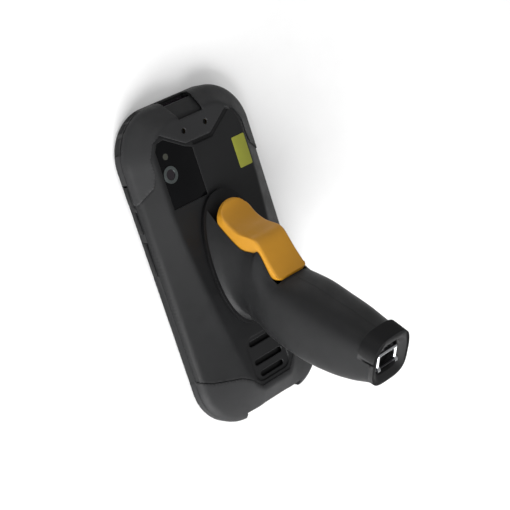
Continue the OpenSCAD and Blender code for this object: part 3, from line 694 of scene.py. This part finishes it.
def make_skin(name, node, slot, thickness, **region):
    """A moulded part of the slab that stands for a CAD node: its skin, thickened inwards."""
    verts, faces = skin(**region)
    obj = new_piece(name, verts, faces, "device", slot, (node,), 180)
    solid(obj, thickness)
    smooth(obj, ROUND)
    return obj


# ---------------------------------------------------------------- rear housing
TOP_C = (HALF_W - TOP_R, HALF_L - TOP_R)
BOTTOM_C = (HALF_W - BOTTOM_R, BOTTOM_R - HALF_L)


def foot_angle(r):
    """How far round the corner arc of radius r the dock notch reaches."""
    return math.degrees(math.asin((DOCK_HALF - BOTTOM_C[0]) / r))


def left_foot(r):
    return arc(-BOTTOM_C[0], BOTTOM_C[1], r, 180, 270 - foot_angle(r))


def right_foot(r):
    return [(-x, y) for x, y in reversed(left_foot(r))]


housing_loop = (
    arc(*TOP_C, TOP_R, 0, 90)
    + [(SCAN_HALF, HALF_L), (SCAN_HALF, SCAN_Y), (-SCAN_HALF, SCAN_Y), (-SCAN_HALF, HALF_L)]
    + arc(-TOP_C[0], TOP_C[1], TOP_R, 90, 180)
    + left_foot(BOTTOM_R) + [(-DOCK_HALF, DOCK_Y), (DOCK_HALF, DOCK_Y)] + right_foot(BOTTOM_R)
)
# Everything beyond the bumpers' inner edges, closed well outside the slab.
top_area = mirrored([(60, 100), (60, TOP_EDGE[0][1])] + TOP_EDGE)
bottom_area = mirrored([(60, -100), (60, BOTTOM_EDGE[0][1])] + BOTTOM_EDGE)


def depth_in(x, y, loop):
    """Distance inside a closed loop, negative outside."""
    return np.where(inside(x, y, loop), 1, -1) * distance(x, y, sides(loop))


def bed(x, y):
    """How far the surface steps down under the bumpers."""
    deep = np.maximum(depth_in(x, y, top_area), depth_in(x, y, bottom_area))
    return BED * step_down(deep - 0.5, 0.6)


def bed_wall(x, y, z):
    return BED if y > TOP_EDGE[0][1] + 0.5 or y < BOTTOM_EDGE[0][1] - 0.5 else 0.0


def housing_low(x, y):
    """Foot of the housing's wall: over the scan window it ends higher."""
    return SCAN_TOP if abs(x) < SCAN_HALF + 0.01 and y > 0 else PARTING + 0.05


slot_loops = [round_rect(width, y - SLOT_H / 2, y + SLOT_H / 2, SLOT_END_R) for y, width in SLOTS]
recess_loop = round_rect(*RECESS)


def housing_shape(x, y):
    recess = RECESS_DEPTH * step_down(depth_in(x, y, recess_loop), 0.5)
    groove = GROOVE_DEPTH * step_down(depth_in(x, y, GROOVE), 0.35)
    return -recess - groove - bed(x, y)


recess_points = both_sides(recess_loop, (-0.45, -0.15, 0.15, 0.45))
groove_points = both_sides(GROOVE, (-0.3, -0.1, 0.1, 0.3), 0.7)
housing = make_skin(
    "housing_back", "rear_housing", "charcoal_shell", HOUSING_T,
    outer=housing_loop, is_wall=lambda x, y: True, holes=slot_loops + [WINDOW],
    grow=0.0, edge_r=HOUSING_EDGE_R, low_at=housing_low,
    extra=recess_points + groove_points, shape=housing_shape, wall_shape=bed_wall,
)

# The ends under the bumpers stay behind the beds.
for v in housing.data.vertices:
    limit = (HALF_L - 0.9 * BED) * MM
    v.co.y = max(-limit, min(limit, v.co.y))

# ---------------------------------------------------------------- bumpers
outer_x, outer_y = HALF_W + PROUD, HALF_L + PROUD
top_loop = (
    [(outer_x, TOP_EDGE[0][1] - 0.01), (outer_x, TOP_C[1])]
    + arc(*TOP_C, TOP_R + PROUD, 0, 90)
    + [(NOTCH_OUT, outer_y), (NOTCH_IN, NOTCH_Y), (-NOTCH_IN, NOTCH_Y), (-NOTCH_OUT, outer_y)]
    + arc(-TOP_C[0], TOP_C[1], TOP_R + PROUD, 90, 180)
    + [(-outer_x, TOP_EDGE[0][1] - 0.01)] + [(-x, y) for x, y in TOP_EDGE] + list(reversed(TOP_EDGE))
)
strap_loops = [arc(s * STRAP_X, STRAP_Y, STRAP_R, 0, 350, 0.35) for s in (-1, 1)]


def on_outline(x, y):
    return abs(float(body_sd(x, y)) - PROUD) < 0.02


def bumper_low(x, y):
    return BUMPER_LOW


def bumper_pockets(x, y, z):
    """Pockets between the ribs in the wall of the top bumper."""
    angle = math.degrees(math.atan2(y - TOP_C[1], abs(x) - TOP_C[0]))
    deep = 0.0
    for a0, a1 in POCKETS:
        side = min(angle - a0, a1 - angle) * math.radians(1) * TOP_R
        level = min(z - POCKET_LOW, POCKET_HIGH - z)
        deep = max(deep, float(step_down(min(side, level), 0.7)))
    return POCKET_DEPTH * deep


top_bumper = make_skin(
    "bumper_top", "top_bumper", "bumper_rubber", BUMPER_T,
    outer=top_loop, is_wall=on_outline, holes=strap_loops,
    grow=PROUD, edge_r=BUMPER_EDGE_R, low_at=bumper_low, wall_shape=bumper_pockets,
)


def box_tool(name, lo, hi):
    (x0, y0, z0), (x1, y1, z1) = lo, hi
    ring = [(x0, y0), (x1, y0), (x1, y1), (x0, y1)]
    verts = [(x, y, z) for z in (z0, z1) for x, y in ring]
    return loose(name, verts, loft_faces(2, 4))


def key_tool(node):
    """Opening for a side key, with a gap round it."""
    lo, hi = node_mm(node)
    return box_tool(node + "_tool", lo - KEY_GAP, hi + KEY_GAP)


def add_part(obj, extra):
    """Joins another mesh to a piece."""
    bm = bmesh.new()
    bm.from_mesh(obj.data)
    bm.from_mesh(extra.data)
    bm.to_mesh(obj.data)
    bm.free()
    discard(extra)


# The bumper's strip under the notch at the scanning end.
sill = box_tool(
    "sill", (-NOTCH_OUT - SILL_OVERLAP, outer_y - SILL_DEPTH, BUMPER_LOW),
    (NOTCH_OUT + SILL_OVERLAP, outer_y, SILL_TOP),
)
bevel(sill, BUMPER_EDGE_R, segments=3)
add_part(top_bumper, sill)
cut(top_bumper, [key_tool("volume_up_key"), key_tool("power_key")])
smooth(top_bumper, ROUND)
bottom_loop = (
    [(-outer_x, BOTTOM_EDGE[0][1])] + left_foot(BOTTOM_R + PROUD)
    + [(-DOCK_HALF, DOCK_Y), (DOCK_HALF, DOCK_Y)] + right_foot(BOTTOM_R + PROUD)
    + [(outer_x, BOTTOM_EDGE[0][1])] + BOTTOM_EDGE + [(-x, y) for x, y in reversed(BOTTOM_EDGE)]
)
make_skin(
    "bumper_bottom", "bottom_bumper", "bumper_rubber", BUMPER_T,
    outer=bottom_loop, is_wall=on_outline, holes=[],
    grow=PROUD, edge_r=BUMPER_EDGE_R, low_at=bumper_low,
)

# ---------------------------------------------------------------- front frame and small rounded nodes
rounded("front_frame", "frame_rim", 0.25)
for node in ("volume_up_key", "volume_down_key", "left_scan_key", "power_key", "right_scan_key"):
    rounded(node, node + "_cap", 0.3)
rounded("end_cap", "cap_end", 0.35, sharp=35, angle=55)
rounded("camera_ring", "ring_camera", 0.25)
rounded("rating_label", "label_blank", 0.05)
rounded("grip_plate", "plate_grip", 0.6, angle=50, segments=3)


def cylinder_tool(name, at, axis, r, h, steps=64):
    """Cylinder along x or z from at, of length h."""
    verts = []
    for k in (0, h):
        for i in range(steps):
            c, s = r * math.cos(math.tau * i / steps), r * math.sin(math.tau * i / steps)
            offset = (k, c, s) if axis == "x" else (c, s, k)
            verts.append(tuple(a + b for a, b in zip(at, offset)))
    return loose(name, verts, loft_faces(2, steps))


# ---------------------------------------------------------------- camera window
window_low, window_high = node_mm("camera_window")
outline = resample(WINDOW, 30)
pane = new_piece(
    "window_pane", [(x, y, z) for z in (window_low[2], window_high[2]) for x, y in reversed(outline)],
    loft_faces(2, len(outline)), "device", "window_gloss", ("camera_window",), 30,
)
face_outwards(pane.data)
bevel(pane, 0.25, 20, 3)
tools = []
for node, radius in WINDOW_HOLES.items():
    lo, hi = node_mm(node)
    middle = (lo + hi) / 2
    tools.append(cylinder_tool(node + "_tool", (middle[0], middle[1], 10), "z", radius, 20))
cut(pane, tools)
smooth(pane, 30)


# ---------------------------------------------------------------- grip shells
def curve(k, table):
    """Smooth curve through a table of (place, value)."""
    ks, vs = [float(a) for a, b in table], [float(b) for a, b in table]
    if k <= ks[0]:
        return vs[0]
    if k >= ks[-1]:
        return vs[-1]
    i = max(j for j in range(len(ks) - 1) if ks[j] <= k)
    slope = [0.0] * len(ks)
    for j in range(1, len(ks) - 1):
        slope[j] = (vs[j + 1] - vs[j - 1]) / (ks[j + 1] - ks[j - 1])
    slope[0] = (vs[1] - vs[0]) / (ks[1] - ks[0])
    slope[-1] = (vs[-1] - vs[-2]) / (ks[-1] - ks[-2])
    h = ks[i + 1] - ks[i]
    t = (k - ks[i]) / h
    a, b = vs[i], vs[i + 1]
    return (
        a * (2 * t ** 3 - 3 * t * t + 1) + b * (3 * t * t - 2 * t ** 3)
        + h * slope[i] * (t ** 3 - 2 * t * t + t) + h * slope[i + 1] * (t ** 3 - t * t)
    )


def on_handle(k, b):
    """Middle-plane point at distance k along the handle and b in front of its axis."""
    return (
        GRIP[0] - k * math.sin(TILT) + b * math.cos(TILT),
        GRIP[1] + k * math.cos(TILT) + b * math.sin(TILT),
    )


def handle_station(k):
    y, z = on_handle(k, curve(k, SHIFT_AT))
    return (y, z, math.degrees(TILT), curve(k, DEPTH_AT), curve(k, WIDTH_AT), HANDLE_E)


def all_stations():
    """Sections from the plate up the neck and along the handle."""
    keys = NECK + [handle_station(0)]
    marks = [float(i) for i in range(len(keys))]
    out = []
    for i in range(len(keys) - 1):
        for t in (0, 0.25, 0.5, 0.75):
            out.append(tuple(curve(i + t, [(m, key[c]) for m, key in zip(marks, keys)]) for c in range(6)))
    return out + [handle_station(float(k)) for k in np.linspace(0, GRIP_LEN, 41)]


def bulge(c, e):
    """A cosine or sine bent so that the section it draws is squarer than an ellipse."""
    return math.copysign(abs(c) ** (2 / e), c)


def place(x, b, station):
    """Point of a section, x across and b in front of its middle."""
    tilt = math.radians(station[2])
    return (x, station[0] + b * math.cos(tilt), station[1] + b * math.sin(tilt))


def half_ring(station, inset, side):
    """Half of the section on one side, from its back to its front."""
    ring = []
    for i in range(HALF_STEPS + 1):
        phi = math.radians(-90 + 180 * i / HALF_STEPS)
        a, b, e = station[3] - inset, station[4] - inset, station[5]
        x = max(SEAM, b * bulge(math.cos(phi), e))
        ring.append(place(side * x, a * bulge(math.sin(phi), e), station))
    return ring


def toe_tool():
    """Space that the end cap's toe takes from the shells."""
    steps = 64
    rings = []
    for k, depth, width in TOE:
        for i in range(steps):
            phi = math.tau * i / steps
            x, b = width * bulge(math.cos(phi), HANDLE_E), depth * bulge(math.sin(phi), HANDLE_E)
            y, z = on_handle(k, TOE_SHIFT + max(b, TOE_FRONT))
            rings.append((x, y, z))
    return loose("toe_tool", rings, loft_faces(2, steps))


def slot_tool():
    """Space the trigger swings in: a thick disc kept to the front of the handle."""
    disc = cylinder_tool("slot_tool", (-SLOT_HALF, PIVOT[1], PIVOT[2]), "x", SLOT_R, 2 * SLOT_HALF, 128)
    floor_z = STATIONS[0][1] - 1
    edge = [(60, floor_z), (1, floor_z)] + SLOT_FRONT
    keep = loose("slot_keep", [(x, y, z) for x in (-30, 30) for y, z in edge], loft_faces(2, len(edge)))
    cut(disc, [keep], "INTERSECT")
    return disc


def shell_blank(name, side):
    """Half of the handle as a closed hollow moulding, before anything is cut from it."""
    outer = [half_ring(station, 0.0, side) for station in STATIONS]
    inner = [half_ring(station, GRIP_T, side) for station in STATIONS]
    rows = [o + list(reversed(i)) for o, i in zip(outer, inner)]
    cols = len(rows[0])
    ends = []
    for base in (0, (len(rows) - 1) * cols):
        for i in range(HALF_STEPS):
            ends.append((base + i, base + i + 1, base + cols - 2 - i, base + cols - 1 - i))
    faces = loft_faces(len(rows), cols, caps=False) + ends
    return loose(name, [q for row in rows for q in row], faces)


STATIONS = all_stations()
SCREWS = [(-18.0, 28.0), on_handle(20, -3.5), on_handle(44, 0)]
for side, node in ((-1, "grip_left_shell"), (1, "grip_right_shell")):
    shell = shell_blank(node + "_fine", side)
    tools = [slot_tool(), toe_tool()]
    if side > 0:
        for name, start, radius, steps in (
            ("screw_tool", SCREW_SEAT_X, SCREW_HEAD_R, 40), ("shank_tool", -1, SCREW_SHANK_R, 24),
        ):
            tools += [cylinder_tool(name, (start, y, z), "x", radius, 20, steps) for y, z in SCREWS]
    cut(shell, tools)
    finish_piece(shell, "device", "charcoal_shell", (node,), 38)


# ---------------------------------------------------------------- trigger
def inward(points, d):
    """Points moved towards the pivot by d."""
    out = []
    for y, z in points:
        vy, vz = PIVOT[1] - y, PIVOT[2] - z
        n = math.hypot(vy, vz)
        out.append((y + vy / n * d, z + vz / n * d))
    return out


def smooth_line(points, step):
    """Even points on a rounded curve through the given ones."""
    marks = [0.0]
    for (ay, az), (by, bz) in zip(points, points[1:]):
        marks.append(marks[-1] + math.hypot(by - ay, bz - az))
    ys, zs = [[(mark, q[axis]) for mark, q in zip(marks, points)] for axis in (0, 1)]
    count = int(marks[-1] / step)
    return [(curve(float(t), ys), curve(float(t), zs)) for t in np.linspace(0, marks[-1], count + 1)]


front = smooth_line(TRIGGER_FRONT, 0.6)
back = smooth_line(TRIGGER_BACK, 0.9)
front_y, front_z = [q[0] for q in front], [q[1] for q in front]
FLAT_HALF = TRIGGER_HALF - TRIGGER_EDGE_R
across = sorted(set(
    [side * (FLAT_HALF + TRIGGER_EDGE_R * math.sin(math.radians(a))) for side in (-1, 1) for a in range(0, 91, 15)]
    + list(np.linspace(-FLAT_HALF, FLAT_HALF, 15))
))


def trigger_row(x):
    """Side view of the trigger at x: rounded over at the sides, at the tip and at the lower corners."""
    over = max(0.0, abs(x) - FLAT_HALF)
    sink = float(TRIGGER_EDGE_R - math.sqrt(max(0.0, TRIGGER_EDGE_R ** 2 - over ** 2)))
    corner = max(0.0, abs(x) - (TRIGGER_HALF - TRIGGER_END_R))
    rise = TRIGGER_END_R - math.sqrt(TRIGGER_END_R ** 2 - corner ** 2)
    lowest = TRIGGER_FRONT[-1][0] + 0.8 * rise - 1.6
    limit = TIP_Y + math.sqrt(max(0.0, TRIGGER_HALF ** 2 - x * x))
    row = []
    for y, z in inward(front, sink) + back:
        if y < lowest:
            y, z = lowest, min(z, float(np.interp(-lowest, [-v for v in front_y], front_z)))
        row.append((x, min(y, limit), z))
    return row


rows = [trigger_row(x) for x in across]
lever = loose("trigger_fine", [q for row in rows for q in row], loft_faces(len(rows), len(rows[0])))


def spring_tool():
    """Bore for the spring, square to the handle's axis."""
    steps = 32
    verts = []
    for b in (SEAT_B, SEAT_B + SEAT_LEN):
        for i in range(steps):
            x, k = SEAT_R * math.cos(math.tau * i / steps), SEAT_R * math.sin(math.tau * i / steps)
            verts.append((x, *on_handle(SEAT_K + k, b)))
    return loose("spring_tool", verts, loft_faces(2, steps))


pin_tool = cylinder_tool("pin_tool", (-15, PIVOT[1], PIVOT[2]), "x", PIN_BORE, 30, 48)
cut(lever, [spring_tool(), pin_tool])
finish_piece(lever, frame["nodes"]["trigger"]["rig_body"], "orange_trigger", ("trigger",), 40)

# ---------------------------------------------------------------- camera, light and floor
CAMERA_AT = Vector((-432.5, 163.1, 565.4)) * MM
FORWARD = Vector((0.6118, -0.2327, -0.756)).normalized()
UP = Vector((0.379, 0.9251, 0.0221))
SENSOR, FOCAL = 36.0, 102.3529412  # mm


def look(at, forward, up):
    right = forward.cross(up).normalized()
    true_up = right.cross(forward)
    m = Matrix((right, true_up, -forward)).transposed().to_4x4()
    m.translation = at
    return m


cam_data = bpy.data.cameras.new("camera")
cam_data.sensor_width = SENSOR
cam_data.lens = FOCAL
cam_data.clip_start = 0.01
camera = bpy.data.objects.new("camera", cam_data)
camera.matrix_world = look(CAMERA_AT, FORWARD, UP)
bpy.context.scene.collection.objects.link(camera)
bpy.context.scene.camera = camera


def area_light(name, at, target, size, power):
    """A square soft light; places and size in metres."""
    data = bpy.data.lights.new(name, "AREA")
    data.energy = power
    data.size = size
    obj = bpy.data.objects.new(name, data)
    at, target = Vector(at), Vector(target)
    obj.matrix_world = look(at, (target - at).normalized(), Vector((0, 0.1, 1)))
    bpy.context.scene.collection.objects.link(obj)


area_light("key", (-0.85, -0.8, 0.55), (0, 0, 0.03), 1.0, 34)
area_light("fill", (-0.2, 0.9, 0.9), (0, 0, 0.04), 0.8, 5)
area_light("side", (0.3, -1.1, 0.5), (0, 0, 0.05), 0.7, 5)
world = bpy.data.worlds.new("studio")
bpy.context.scene.world = world
world.use_nodes = True
sky = world.node_tree.nodes["Background"]
sky.inputs["Color"].default_value = (1, 1, 1, 1)
sky.inputs["Strength"].default_value = 0.38
bpy.context.scene.view_settings.view_transform = "Standard"

floor_mesh = bpy.data.meshes.new("floor")
floor_mesh.from_pydata([(-3, -3, 0), (3, -3, 0), (3, 3, 0), (-3, 3, 0)], [], [(0, 1, 2, 3)])
floor = bpy.data.objects.new("floor", floor_mesh)
floor_mesh.materials.append(moulded("floor_pale", (0.9, 0.9, 0.9), 0.8, 300, 0.02, 0.01, spec=0.1))
bpy.context.scene.collection.objects.link(floor)
